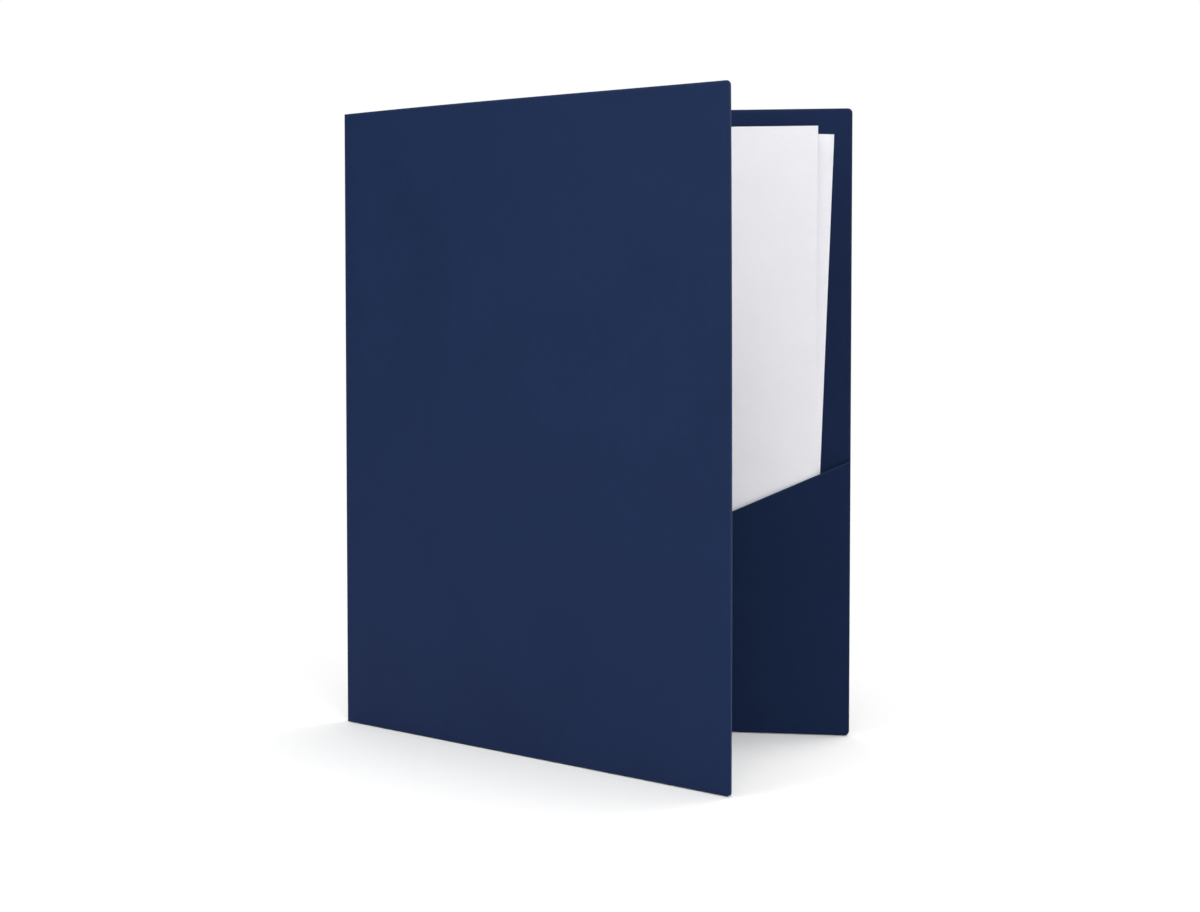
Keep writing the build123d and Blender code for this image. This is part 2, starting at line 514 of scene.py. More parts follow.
@dataclass(frozen=True)
class PaperFinish:
    """Plain office paper: nearly white, with a faint cloudy formation and a slightly toothy surface."""

    name: str = "office_paper"
    base: Colour = (0.912, 0.905, 0.945, 1.0)
    thin: Colour = (0.888, 0.881, 0.920, 1.0)
    roughness: float = 0.7
    roughness_swing: float = 0.1
    specular: float = 0.2
    bump_depth: float = 0.000012
    scales: FibreScales = FibreScales(cloud=60.0, mottle=480.0, fibre=3200.0, stretch=0.2)

    def build(self, effects: PaperEffects) -> bpy.types.Material:
        """Makes the material.

        Args:
            effects: The shared paper effects.

        Returns:
            The material.
        """
        material, sketch = new_material(self.name)
        fibre = self.scales.place(sketch, effects)
        colour = sketch.mix(sketch.ramp(fibre["Cloud"], *NOISE_BAND, 0.0, 1.0), self.thin, self.base)
        rough = sketch.math("MULTIPLY_ADD", fibre["Fibre"], self.roughness_swing, self.roughness)
        sketch.surface(colour, rough, fibre["Height"], self.bump_depth, self.specular)
        return material


@dataclass(frozen=True)
class GlueFinish:
    """Dried white glue: cream, with the streaks of the spreader."""

    name: str = "dried_glue"
    thin: Colour = (0.62, 0.56, 0.44, 1.0)
    thick: Colour = (0.80, 0.76, 0.66, 1.0)
    roughness: float = 0.4
    roughness_swing: float = 0.2
    specular: float = 0.5
    bump_depth: float = 0.00003
    scales: FibreScales = FibreScales(cloud=90.0, mottle=600.0, fibre=900.0, stretch=0.05)

    def build(self, effects: PaperEffects) -> bpy.types.Material:
        """Makes the material.

        Args:
            effects: The shared paper effects.

        Returns:
            The material.
        """
        material, sketch = new_material(self.name)
        streaks = self.scales.place(sketch, effects)
        colour = sketch.mix(streaks["Fibre"], self.thin, self.thick)
        rough = sketch.math("MULTIPLY_ADD", streaks["Cloud"], self.roughness_swing, self.roughness)
        sketch.surface(colour, rough, streaks["Height"], self.bump_depth, self.specular)
        return material


@dataclass(frozen=True)
class Finishes:
    """Every finish on the folder, as built materials."""

    panel: bpy.types.Material
    fold: bpy.types.Material
    cut_edge_and_highlight: bpy.types.Material
    paper: bpy.types.Material
    glue: bpy.types.Material

    @classmethod
    def build(cls) -> "Finishes":
        """Makes the shared effects and then every material.

        Returns:
            The materials.
        """
        effects = PaperEffects()
        # Edges and fold crests are paler: partly rubbing, partly a painted edge highlight.
        panel = BoardFinish("navy_board", NAVY_DEEP, NAVY_LIGHT, NAVY_WORN_AND_HIGHLIT, rub_and_highlight_share=0.55)
        fold = BoardFinish("navy_board_fold", NAVY_DEEP, NAVY_LIGHT, NAVY_WORN_AND_HIGHLIT, rub_and_highlight_share=0.25)
        # Cut edges are paler still: partly a lighter core, partly a painted edge highlight.
        cut_edge_and_highlight = BoardFinish(
            "navy_board_cut_edge_and_highlight", NAVY_WORN_AND_HIGHLIT, CUT_PALE_AND_HIGHLIT, CUT_WORN_AND_HIGHLIT, rub_and_highlight_share=0.3, roughness=0.8
        )
        finishes = (panel, fold, cut_edge_and_highlight, PaperFinish(), GlueFinish())
        return cls(*(finish.build(effects) for finish in finishes))


@dataclass(frozen=True)
class Outline:
    """A flat closed outline in (along, up), with each of its sides marked as a cut edge or a crease.

    Attributes:
        points: The corners, anticlockwise.
        cut: For each point, whether the side that starts there is a cut edge.
    """

    points: tuple[FlatPoint, ...]
    cut: tuple[bool, ...]

    @classmethod
    def of(cls, *runs: tuple[Sequence[FlatPoint], bool]) -> "Outline":
        """Joins runs of points into an outline.

        Args:
            *runs: Each run's points, and whether the sides that start at them are cut edges.

        Returns:
            The outline.
        """
        points = tuple(point for run, _ in runs for point in run)
        cut = tuple(mark for run, mark in runs for _ in run)
        return cls(points, cut)

    def edge_distance(self, along: float, up: float) -> float:
        """How far a place lies from the nearest cut edge.

        Args:
            along: Where it is along the cover.
            up: How high it is.

        Returns:
            The distance, in metres.
        """
        spot = Vector((along, up))
        nearest = math.inf
        for index, mark in enumerate(self.cut):
            if mark:
                start = Vector(self.points[index])
                side = Vector(self.points[(index + 1) % len(self.points)]) - start
                share = clamped((spot - start).dot(side) / side.length_squared)
                nearest = min(nearest, (spot - start - share * side).length)
        return nearest


def arc(centre: FlatPoint, radius: float, start: float, end: float, steps: int) -> list[FlatPoint]:
    """Points along an arc between two angles, in radians, both ends included, with a number of chords."""
    angles = (start + (end - start) * step / steps for step in range(steps + 1))
    return [(centre[0] + radius * math.cos(a), centre[1] + radius * math.sin(a)) for a in angles]


def rounded(
    before: FlatPoint, corner: FlatPoint, after: FlatPoint, radius: float, steps: int
) -> list[FlatPoint]:
    """Points that round off a corner.

    Args:
        before: A point on the side that comes in.
        corner: The corner.
        after: A point on the side that goes out.
        radius: The radius of the rounding.
        steps: How many chords it has.

    Returns:
        The points, in the outline's order.
    """
    tip = Vector(corner)
    back = (Vector(before) - tip).normalized()
    onward = (Vector(after) - tip).normalized()
    half_angle = back.angle(onward) / 2
    centre = tip + (back + onward).normalized() * radius / math.sin(half_angle)
    first = tip + back * radius / math.tan(half_angle) - centre
    last = tip + onward * radius / math.tan(half_angle) - centre
    start = math.atan2(first.y, first.x)
    turn = first.angle_signed(last)
    return arc((centre.x, centre.y), radius, start, start - turn, steps)


@dataclass(frozen=True)
class PanelMaker:
    """Makes flat panels of board: an outline with thickness, fine enough to bow, its edges softened.

    Attributes:
        board: The thickness of the board, in metres.
        finishes: The materials.
        cell: The size of the cells that a panel is divided into.
        border: The width of the strip beside each long side.
        long_side: The length from which a side has such a strip.
        edge_softness: How far back the cut edges are softened.
        edge_segments: How many faces that softening has.
        edge_profile: The shape of that softening, where 0.5 is round.
    """

    board: float
    finishes: Finishes
    cell: float = 0.010
    border: float = EDGE_FADE_REACH
    long_side: float = 0.008
    edge_softness: float = 0.00009
    edge_segments: int = 2
    edge_profile: float = 0.5

    def _cuts(self, outline: Outline) -> list[tuple[Vector, Vector]]:
        """Lists the lines that divide an outline: one beside each long side, and a grid of cells.

        Args:
            outline: The outline.

        Returns:
            For each line, a point on it and its normal.
        """
        corners = [Vector((along, up, 0.0)) for along, up in outline.points]
        cuts = []
        for corner, following in zip(corners, corners[1:] + corners[:1]):
            side = following - corner
            if side.length > self.long_side:
                inward = Vector((-side.y, side.x, 0.0)).normalized()
                cuts.append((corner + inward * self.border, inward))
        for axis in (0, 1):
            values = [corner[axis] for corner in corners]
            reach = max(values) - min(values)
            count = max(1, round(reach / self.cell))
            normal = Vector((1 - axis, axis, 0))
            cuts.extend((normal * (min(values) + reach * step / count), normal) for step in range(1, count))
        return cuts

    def _flat(self, outline: Outline) -> bmesh.types.BMesh:
        """Lays an outline out flat in (along, up), divided into border strips and cells.

        Args:
            outline: The outline.

        Returns:
            The flat mesh.
        """
        flat = bmesh.new()
        flat.faces.new([flat.verts.new((along, up, 0.0)) for along, up in outline.points])
        for spot, normal in self._cuts(outline):
            whole = flat.verts[:] + flat.edges[:] + flat.faces[:]
            bmesh.ops.bisect_plane(flat, geom=whole, dist=TOUCH, plane_co=spot, plane_no=normal)
        flat.verts.index_update()
        return flat

    def _thicken(self, outline: Outline, start: float) -> tuple[bmesh.types.BMesh, list[bmesh.types.BMFace]]:
        """Gives an outline the thickness of the board.

        Args:
            outline: The outline.
            start: How far inward of the cover's inner face the board starts.

        Returns:
            The panel's mesh, in (along, inward, up), and the faces of its cut edges.
        """
        flat = self._flat(outline)
        panel = bmesh.new()
        fade = panel.verts.layers.float.new(EDGE_FADE)
        layers: list[list[bmesh.types.BMVert]] = []
        for inward in (start, start + self.board):
            layers.append([panel.verts.new((vert.co.x, inward, vert.co.y)) for vert in flat.verts])
            for made, vert in zip(layers[-1], flat.verts):
                made[fade] = min(1.0, outline.edge_distance(vert.co.x, vert.co.y) / EDGE_FADE_REACH)
        outer, inner = layers
        for face in flat.faces:
            corners = [vert.index for vert in face.verts]
            panel.faces.new([inner[index] for index in corners])
            panel.faces.new([outer[index] for index in reversed(corners)])
        cut_rim = []
        for edge in flat.edges:
            if edge.is_boundary:
                first, second = (vert.index for vert in edge.verts)
                rim = panel.faces.new([outer[first], outer[second], inner[second], inner[first]])
                middle = (edge.verts[0].co + edge.verts[1].co) / 2
                if outline.edge_distance(middle.x, middle.y) < TOUCH:
                    rim.material_index = 1
                    cut_rim.append(rim)
        flat.free()
        return panel, cut_rim

    def _soften(self, panel: bmesh.types.BMesh, cut_rim: list[bmesh.types.BMFace]) -> None:
        """Softens a panel along its cut edges, and leaves its creases as they are.

        Args:
            panel: The panel's mesh.
            cut_rim: The faces of its cut edges.
        """
        bmesh.ops.recalc_face_normals(panel, faces=panel.faces[:])
        cut = set(cut_rim)
        edges = {edge for face in cut_rim for edge in face.edges}
        sharp = [
            edge
            for edge in edges
            if sum(face in cut for face in edge.link_faces) == 1 and edge.calc_face_angle() > SHARP_ANGLE
        ]
        bmesh.ops.bevel(
            panel,
            geom=sharp,
            offset=self.edge_softness,
            offset_type="OFFSET",
            segments=self.edge_segments,
            profile=self.edge_profile,
            affect="EDGES",
        )

    def make(self, name: str, outline: Outline, start: float, place: Placer) -> bpy.types.Object:
        """Makes one panel.

        Args:
            name: The piece's name.
            outline: Its outline.
            start: How far inward of the cover's inner face it starts.
            place: Turns a place on its half into a point of the frame.

        Returns:
            The panel.
        """
        panel, cut_rim = self._thicken(outline, start)
        self._soften(panel, cut_rim)
        return finish_mesh(name, panel, place, [self.finishes.panel, self.finishes.cut_edge_and_highlight])


def shell_volume(shell: Sequence[bmesh.types.BMFace]) -> float:
    """The volume of a closed shell.

    Args:
        shell: Its faces.

    Returns:
        The volume, which is below zero where the faces look inward.
    """
    start = shell[0].verts[0].co
    total = 0.0
    for face in shell:
        first, *others = (vert.co - start for vert in face.verts)
        total += sum(first.dot(near.cross(far)) for near, far in zip(others, others[1:]))
    return total / 6.0


def face_outward(made: bmesh.types.BMesh) -> None:
    """Turns the faces of a mesh outward, one closed shell after another.

    Args:
        made: The mesh.
    """
    bmesh.ops.recalc_face_normals(made, faces=made.faces[:])
    waiting = set(made.faces)
    while waiting:
        shell = [waiting.pop()]
        for face in shell:
            beside = {other for edge in face.edges for other in edge.link_faces} & waiting
            waiting -= beside
            shell.extend(beside)
        if shell_volume(shell) < 0.0:
            bmesh.ops.reverse_faces(made, faces=shell)


def finish_mesh(
    name: str, made: bmesh.types.BMesh, place: Placer, materials: Sequence[bpy.types.Material]
) -> bpy.types.Object:
    """Turns a closed bmesh into a piece in its place, with outward normals and smooth faces.

    Args:
        name: The piece's name.
        made: The bmesh, which is freed.
        place: Turns a point of the bmesh into a point of the frame.
        materials: The piece's materials.

    Returns:
        The piece, linked to the scene.
    """
    for vert in made.verts:
        vert.co = place(vert.co.copy())
    face_outward(made)
    for face in made.faces:
        face.smooth = True
    mesh = bpy.data.meshes.new(name)
    made.to_mesh(mesh)
    made.free()
    mesh.set_sharp_from_angle(angle=SHARP_ANGLE)
    for material in materials:
        mesh.materials.append(material)
    piece = bpy.data.objects.new(name, mesh)
    bpy.context.scene.collection.objects.link(piece)
    return piece


class ShapeRecipe:
    """A Geometry Nodes tree with named inputs and a finish, run to make plain meshes."""

    def __init__(self, name: str, sizes: Sequence[str], counts: Sequence[str]) -> None:
        """Starts a tree.

        Args:
            name: The tree's name.
            sizes: The names of its inputs that are lengths or angles.
            counts: The names of its inputs that are whole numbers.
        """
        inputs = dict.fromkeys(sizes, Socket.FLOAT) | dict.fromkeys(counts, Socket.COUNT)
        inputs["Finish"] = Socket.MATERIAL
        self.tree = new_group(name, "GeometryNodeTree", inputs, {"Geometry": Socket.GEOMETRY})
        self.sketch = NodeSketch(self.tree)
        self.given = self.sketch.add("NodeGroupInput").outputs

    def spot(self) -> bpy.types.bpy_prop_collection:
        """The X, Y and Z of each point."""
        position = self.sketch.add("GeometryNodeInputPosition").outputs[0]
        return self.sketch.add("ShaderNodeSeparateXYZ", {0: position}).outputs

    def mark(self, geometry: bpy.types.NodeSocket, name: str, value: Any) -> bpy.types.NodeSocket:
        """Stores a value on each point under a name.

        Args:
            geometry: The geometry.
            name: The name of the stored value.
            value: The value.

        Returns:
            The marked geometry.
        """
        sockets = {"Geometry": geometry, "Name": name, "Value": value}
        kind = {"data_type": "FLOAT", "domain": "POINT"}
        return self.sketch.add("GeometryNodeStoreNamedAttribute", sockets, **kind).outputs[0]

    def close(self, geometry: bpy.types.NodeSocket) -> None:
        """Ends the tree: instances become real and take the finish.

        Args:
            geometry: The last geometry.
        """
        real = self.sketch.add("GeometryNodeRealizeInstances", {"Geometry": geometry}).outputs[0]
        sockets = {"Geometry": real, "Material": self.given["Finish"]}
        dressed = self.sketch.add("GeometryNodeSetMaterial", sockets).outputs[0]
        self.sketch.add("NodeGroupOutput", {"Geometry": dressed})

    def thick_grid(
        self, width: Any, height: Any, columns: Any, rows: Any, thickness: Any
    ) -> bpy.types.NodeSocket:
        """Draws a closed flat board, from 0 to thickness in Z, with its middle at the origin.

        Args:
            width: Its size in X.
            height: Its size in Y.
            columns: How many points it has in X.
            rows: How many points it has in Y.
            thickness: Its thickness.

        Returns:
            The board's geometry.
        """
        sketch = self.sketch
        sockets = {"Size X": width, "Size Y": height, "Vertices X": columns, "Vertices Y": rows}
        grid = sketch.add("GeometryNodeMeshGrid", sockets).outputs["Mesh"]
        sockets = {"Mesh": grid, "Offset Scale": thickness, "Individual": False}
        raised = sketch.add("GeometryNodeExtrudeMesh", sockets).outputs["Mesh"]
        under = sketch.add("GeometryNodeFlipFaces", {"Mesh": grid}).outputs[0]
        both = sketch.add("GeometryNodeJoinGeometry")
        sketch.tree.links.new(raised, both.inputs[0])
        sketch.tree.links.new(under, both.inputs[0])
        sockets = {"Geometry": both.outputs[0], "Distance": TOUCH}
        return sketch.add("GeometryNodeMergeByDistance", sockets).outputs[0]

    def run(self, name: str, values: dict[str, Any], place: Placer) -> bpy.types.Object:
        """Runs the tree and puts its result in place.

        Args:
            name: The piece's name.
            values: Input values by name.
            place: Turns a point of the tree's own space into a point of the frame.

        Returns:
            The piece, as a plain mesh.
        """
        bench = bpy.data.objects.new(f"{name}_bench", bpy.data.meshes.new(f"{name}_bench"))
        bpy.context.scene.collection.objects.link(bench)
        modifier = bench.modifiers.new("shape", "NODES")
        modifier.node_group = self.tree
        for item in self.tree.interface.items_tree:
            if item.in_out == "INPUT":
                modifier[item.identifier] = values[item.name]
        depsgraph = bpy.context.evaluated_depsgraph_get()
        evaluated = bench.evaluated_get(depsgraph)
        mesh = bpy.data.meshes.new_from_object(evaluated, preserve_all_data_layers=True, depsgraph=depsgraph)
        bench.modifiers.remove(modifier)
        bpy.data.objects.remove(bench)
        made = bmesh.new()
        made.from_mesh(mesh)
        piece = finish_mesh(name, made, place, mesh.materials)
        bpy.data.meshes.remove(mesh)
        return piece


@dataclass(frozen=True)
class Bend:
    """One strip of board, bent round an axis along its length.

    Attributes:
        length: Its length, in metres.
        inner_radius: The radius inside the bend.
        sweep: How far it turns, in radians.
        ring_spacing: The distance between its cross sections.
        steps: How many points each cross section has along the bend.
    """

    length: float
    inner_radius: float
    sweep: float = math.pi
    ring_spacing: float = 0.010
    steps: int = 17


class BendMaker:
    """Makes bent strips of board, which turn round X from the +Y side of their axis towards +Z."""

    def __init__(self, board: float, finish: bpy.types.Material) -> None:
        """Draws the recipe.

        Args:
            board: The thickness of the board, in metres.
            finish: The finish of the strips.
        """
        self.board = board
        self.finish = finish
        self.recipe = self._draw()

    @staticmethod
    def _draw() -> ShapeRecipe:
        """Draws a square of board, one unit wide about the origin, and then bends it to its sizes.

        Returns:
            The recipe. A fold's crest has an edge fade of 0, and its two creases have 1.
        """
        recipe = ShapeRecipe("Bent Board", ("Length", "Inner Radius", "Board", "Sweep"), ("Rings", "Steps"))
        sketch = recipe.sketch
        given = recipe.given
        flat = recipe.thick_grid(1.0, 1.0, given["Rings"], given["Steps"], given["Board"])
        spot = recipe.spot()
        crest = sketch.math("MULTIPLY", sketch.math("ABSOLUTE", spot["Y"]), 2.0)
        marked = recipe.mark(flat, EDGE_FADE, crest)
        along = sketch.math("MULTIPLY", sketch.math("ADD", spot["X"], 0.5), given["Length"])
        angle = sketch.math("MULTIPLY", sketch.math("ADD", spot["Y"], 0.5), given["Sweep"])
        radius = sketch.math("ADD", given["Inner Radius"], spot["Z"])
        across = sketch.math("MULTIPLY", radius, sketch.math("COSINE", angle))
        rise = sketch.math("MULTIPLY", radius, sketch.math("SINE", angle))
        bent = {"Geometry": marked, "Position": sketch.vector(along, across, rise)}
        recipe.close(sketch.add("GeometryNodeSetPosition", bent).outputs[0])
        return recipe

    def make(self, name: str, bend: Bend, place: Placer) -> bpy.types.Object:
        """Makes one bent strip.

        Args:
            name: The piece's name.
            bend: The sizes of the bend.
            place: Turns a point of the strip into a point of the frame.

        Returns:
            The strip.
        """
        values = {
            "Length": bend.length,
            "Inner Radius": bend.inner_radius,
            "Board": self.board,
            "Sweep": bend.sweep,
            "Rings": max(2, round(bend.length / bend.ring_spacing)),
            "Steps": bend.steps,
            "Finish": self.finish,
        }
        return self.recipe.run(name, values, place)


def settle(piece: bpy.types.Object, body: str, slot: Slot, *nodes: str) -> bpy.types.Object:
    """Makes a piece ride on a body, in place of its CAD nodes.

    Args:
        piece: The piece.
        body: The body's name.
        slot: The piece's material slot. Not used.
        *nodes: The CAD nodes that it stands for.

    Returns:
        The same piece.
    """
    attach(piece, body)
    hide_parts(*nodes)
    return piece


@dataclass(frozen=True)
class PocketState:
    """How a pocket stands: filled and a little open at its mouth, or empty and pressed flat.

    Attributes:
        depth: The room inside it, in metres.
        set_in: How far its outer side lies inside the cover's free edge.
        relief: How far short of the cover's rounded corner its bottom fold ends.
        bulge: How far its mouth stands open beyond that room.
        bulge_run: How far from the outer side the mouth reaches that bulge.
    """

    depth: float
    set_in: float = 0.0
    relief: float = 0.0
    bulge: float = 0.0
    bulge_run: float = 0.045

    def lift(self, from_side: float, up: float) -> float:
        """How far the panel stands open at a distance from its outer side and a share of its height."""
        across = math.sin(math.pi / 2 * clamped(from_side / self.bulge_run))
        return self.bulge * across * clamped(up) ** 2


@dataclass(frozen=True)
class BoardHalf:
    """One half of the folder: its cover, and its pocket with the two folds and the glued tab.

    Attributes:
        space: Turns places on this half into points of the frame.
        pocket: How its pocket stands.
        panels: Makes its panels.
        bends: Makes its folds.
        glue: The finish of its glue.
        corner_steps: How many chords a rounded corner has.
        side_foot: The height at which the side fold starts, in metres.
    """

    space: HalfSpace
    pocket: PocketState
    panels: PanelMaker
    bends: BendMaker
    glue: bpy.types.Material
    corner_steps: int = 6
    side_foot: float = 0.00165

    @property
    def sizes(self) -> FolderSizes:
        """The folder's sizes."""
        return self.space.sizes

    @property
    def crease_height(self) -> float:
        """The height of the crease above the bottom fold, which stands on the floor."""
        return self.pocket.depth / 2 + self.sizes.board

    @property
    def side_radius(self) -> float:
        """The outer radius of the side fold, from the glued tab to the pocket's face."""
        return (self.pocket.depth + self.sizes.board - self.sizes.glue) / 2

    @property
    def side_line(self) -> float:
        """Where the pocket's panel ends and its side fold starts."""
        return self.sizes.free_edge - self.pocket.set_in - self.side_radius

    def cover_outline(self) -> Outline:
        """The cover, from the spine's bend to the free edge, with its foot beside the spine.

        Returns:
            The outline.
        """
        sizes = self.sizes
        radius = sizes.corner_radius
        foot_end = sizes.pocket_inner_edge - sizes.notch_gap
        centre = sizes.free_edge - radius
        low_start = math.asin((self.crease_height - radius) / radius)
        low = arc((centre, radius), radius, low_start, 0.0, self.corner_steps)
        high = arc((centre, sizes.top - radius), radius, 0.0, math.pi / 2, self.corner_steps)
        return Outline.of(
            ([(0.0, sizes.spine_foot), (foot_end, sizes.spine_foot)], True),
            ([(foot_end, self.crease_height)], False),
            (low, True),
            (high, True),
            ([(0.0, sizes.top)], False),
        )

    def pocket_outline(self) -> Outline:
        """The pocket, from the bottom fold to its slanted mouth.

        Returns:
            The outline.
        """
        sizes = self.sizes
        foot_inner = (sizes.pocket_inner_edge, self.crease_height)
        mouth_inner = (sizes.pocket_inner_edge, sizes.mouth_height(sizes.pocket_inner_edge))
        mouth_outer = (self.side_line, sizes.mouth_height(self.side_line))
        inner_corner = rounded(mouth_outer, mouth_inner, foot_inner, sizes.mouth_radius, self.corner_steps)
        return Outline.of(
            ([foot_inner, (self.side_line, self.crease_height)], False),
            ([mouth_outer], True),
            (inner_corner, True),
        )

    def tab_outline(self) -> Outline:
        """The glued tab, with both ends cut off at a slant.

        Returns:
            The outline.
        """
        sizes = self.sizes
        width = self.side_line - sizes.tab_edge
        head = sizes.mouth_height(self.side_line)
        return Outline.of(
            ([(sizes.tab_edge, sizes.tab_foot + width)], True),
            ([(self.side_line, sizes.tab_foot)], False),
            ([(self.side_line, head), (sizes.tab_edge, head - width)], True),
        )

    def _on_pocket(self, spot: Vector) -> Vector:
        """Puts a place on the pocket's panel into the frame, where the panel stands open at its mouth.

        Args:
            spot: Along the cover, inward from its inner face, and up.

        Returns:
            The point of the frame.
        """
        rise = (spot.z - self.crease_height) / (self.sizes.mouth_height(spot.x) - self.crease_height)
        open_by = self.pocket.lift(self.side_line - spot.x, rise)
        return self.space.place(spot + Vector((0.0, open_by, 0.0)))

    def _on_foot(self, spot: Vector) -> Vector:
        """Puts a point of the bottom fold's strip into the frame, rounded off at the free corner.

        Args:
            spot: The point of the strip.

        Returns:
            The point of the frame.
        """
        sizes = self.sizes
        up = self.crease_height - spot.z
        along = min(sizes.pocket_inner_edge + spot.x, sizes.corner_reach(up) - self.pocket.relief)
        return self.space.place(Vector((along, self.pocket.depth / 2 - spot.y, up)))

    def _on_side(self, spot: Vector) -> Vector:
        """Puts a point of the side fold's strip into the frame, cut off at the line of the mouth.

        Args:
            spot: The point of the strip.

        Returns:
            The point of the frame.
        """
        sizes = self.sizes
        along = self.side_line + spot.z
        up = min(self.side_foot + spot.x, sizes.mouth_height(along))
        return self.space.place(Vector((along, sizes.glue + self.side_radius - spot.y, up)))

    def build(self) -> list[bpy.types.Object]:
        """Makes every piece of this half and dresses its glue.

        Returns:
            The pieces.
        """
        sizes = self.sizes
        side = self.space.side
        on_cover = self.space.place
        panels = (
            ("cover", "cover_board", self.cover_outline(), -sizes.board, on_cover),
            ("pocket", "pocket_board", self.pocket_outline(), self.pocket.depth, self._on_pocket),
            ("glue_tab", "tab_board", self.tab_outline(), sizes.glue, on_cover),
        )
        foot = Bend(sizes.free_edge - self.pocket.set_in - sizes.pocket_inner_edge, self.pocket.depth / 2)
        outer = Bend(sizes.mouth_outer_height - self.side_foot, self.side_radius - sizes.board)
        folds = (
            ("pocket_fold", "pocket_bend", foot, self._on_foot),
            ("side_fold", "side_bend", outer, self._on_side),
        )
        made = []
        for node, name, *shape in panels:
            made.append((node, self.panels.make(f"{side.value}_{name}", *shape)))
        for node, name, *shape in folds:
            made.append((node, self.bends.make(f"{side.value}_{name}", *shape)))
        glue = frame["nodes"][f"{side.value}_glue_strip"]
        glue.data.materials.clear()
        glue.data.materials.append(self.glue)
        return [settle(piece, side.body, Slot.BOARD, f"{side.value}_{node}") for node, piece in made]


@dataclass(frozen=True)
class SpineFold:
    """The bend between the covers, made for the covers' rest opening."""

    sizes: FolderSizes
    bends: BendMaker
    ring_spacing: float = 0.012
    steps: int = 25

    def _place(self, spot: Vector) -> Vector:
        """Stands a point of the strip up round the spine's axis."""
        return self.sizes.hinge + Vector((-spot.z, spot.y, self.sizes.spine_foot + spot.x))

    def build(self) -> bpy.types.Object:
        """Makes the bend.

        Returns:
            The spine.
        """
        sizes = self.sizes
        sweep = math.pi - sizes.opening
        bend = Bend(sizes.top - sizes.spine_foot, sizes.inner_face, sweep, self.ring_spacing, self.steps)
        piece = self.bends.make("spine_bend", bend, self._place)
        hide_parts("spine_fold")
        Side.BACK.body
        Side.FRONT.body
        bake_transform(piece)
        return piece


@dataclass(frozen=True)
class SheetStand:
    """How one CAD sheet stands: its lower outer corner, on its hind face, and its tilt in radians."""

    foot: Vector
    tilt: float

    @classmethod
    def read(cls, node: str, sheet: Vector) -> "SheetStand":
        """Works out from its box how a sheet stands.

        Args:
            node: The sheet's node.
            sheet: The width, thickness and height of a sheet.

        Returns:
            How it stands.
        """
        low, high = (Vector(corner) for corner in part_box(node))
        reach = high - low
        tilt = math.asin((sheet.z * reach.x - sheet.x * reach.z) / (sheet.z**2 - sheet.x**2))
        return cls(Vector((high.x - sheet.z * math.sin(tilt), high.y, low.z)), tilt)

    def place(self, spot: Vector) -> Vector:
        """Turns a point of a flat sheet set about the lower outer corner, and stands it up there.

        Args:
            spot: The point: across the sheets, up them, and from the hindmost to the foremost.

        Returns:
            The point of the frame.
        """
        along = spot.x * math.cos(self.tilt) + spot.y * math.sin(self.tilt)
        up = spot.y * math.cos(self.tilt) - spot.x * math.sin(self.tilt)
        return self.foot + Vector((along, -spot.z, up))


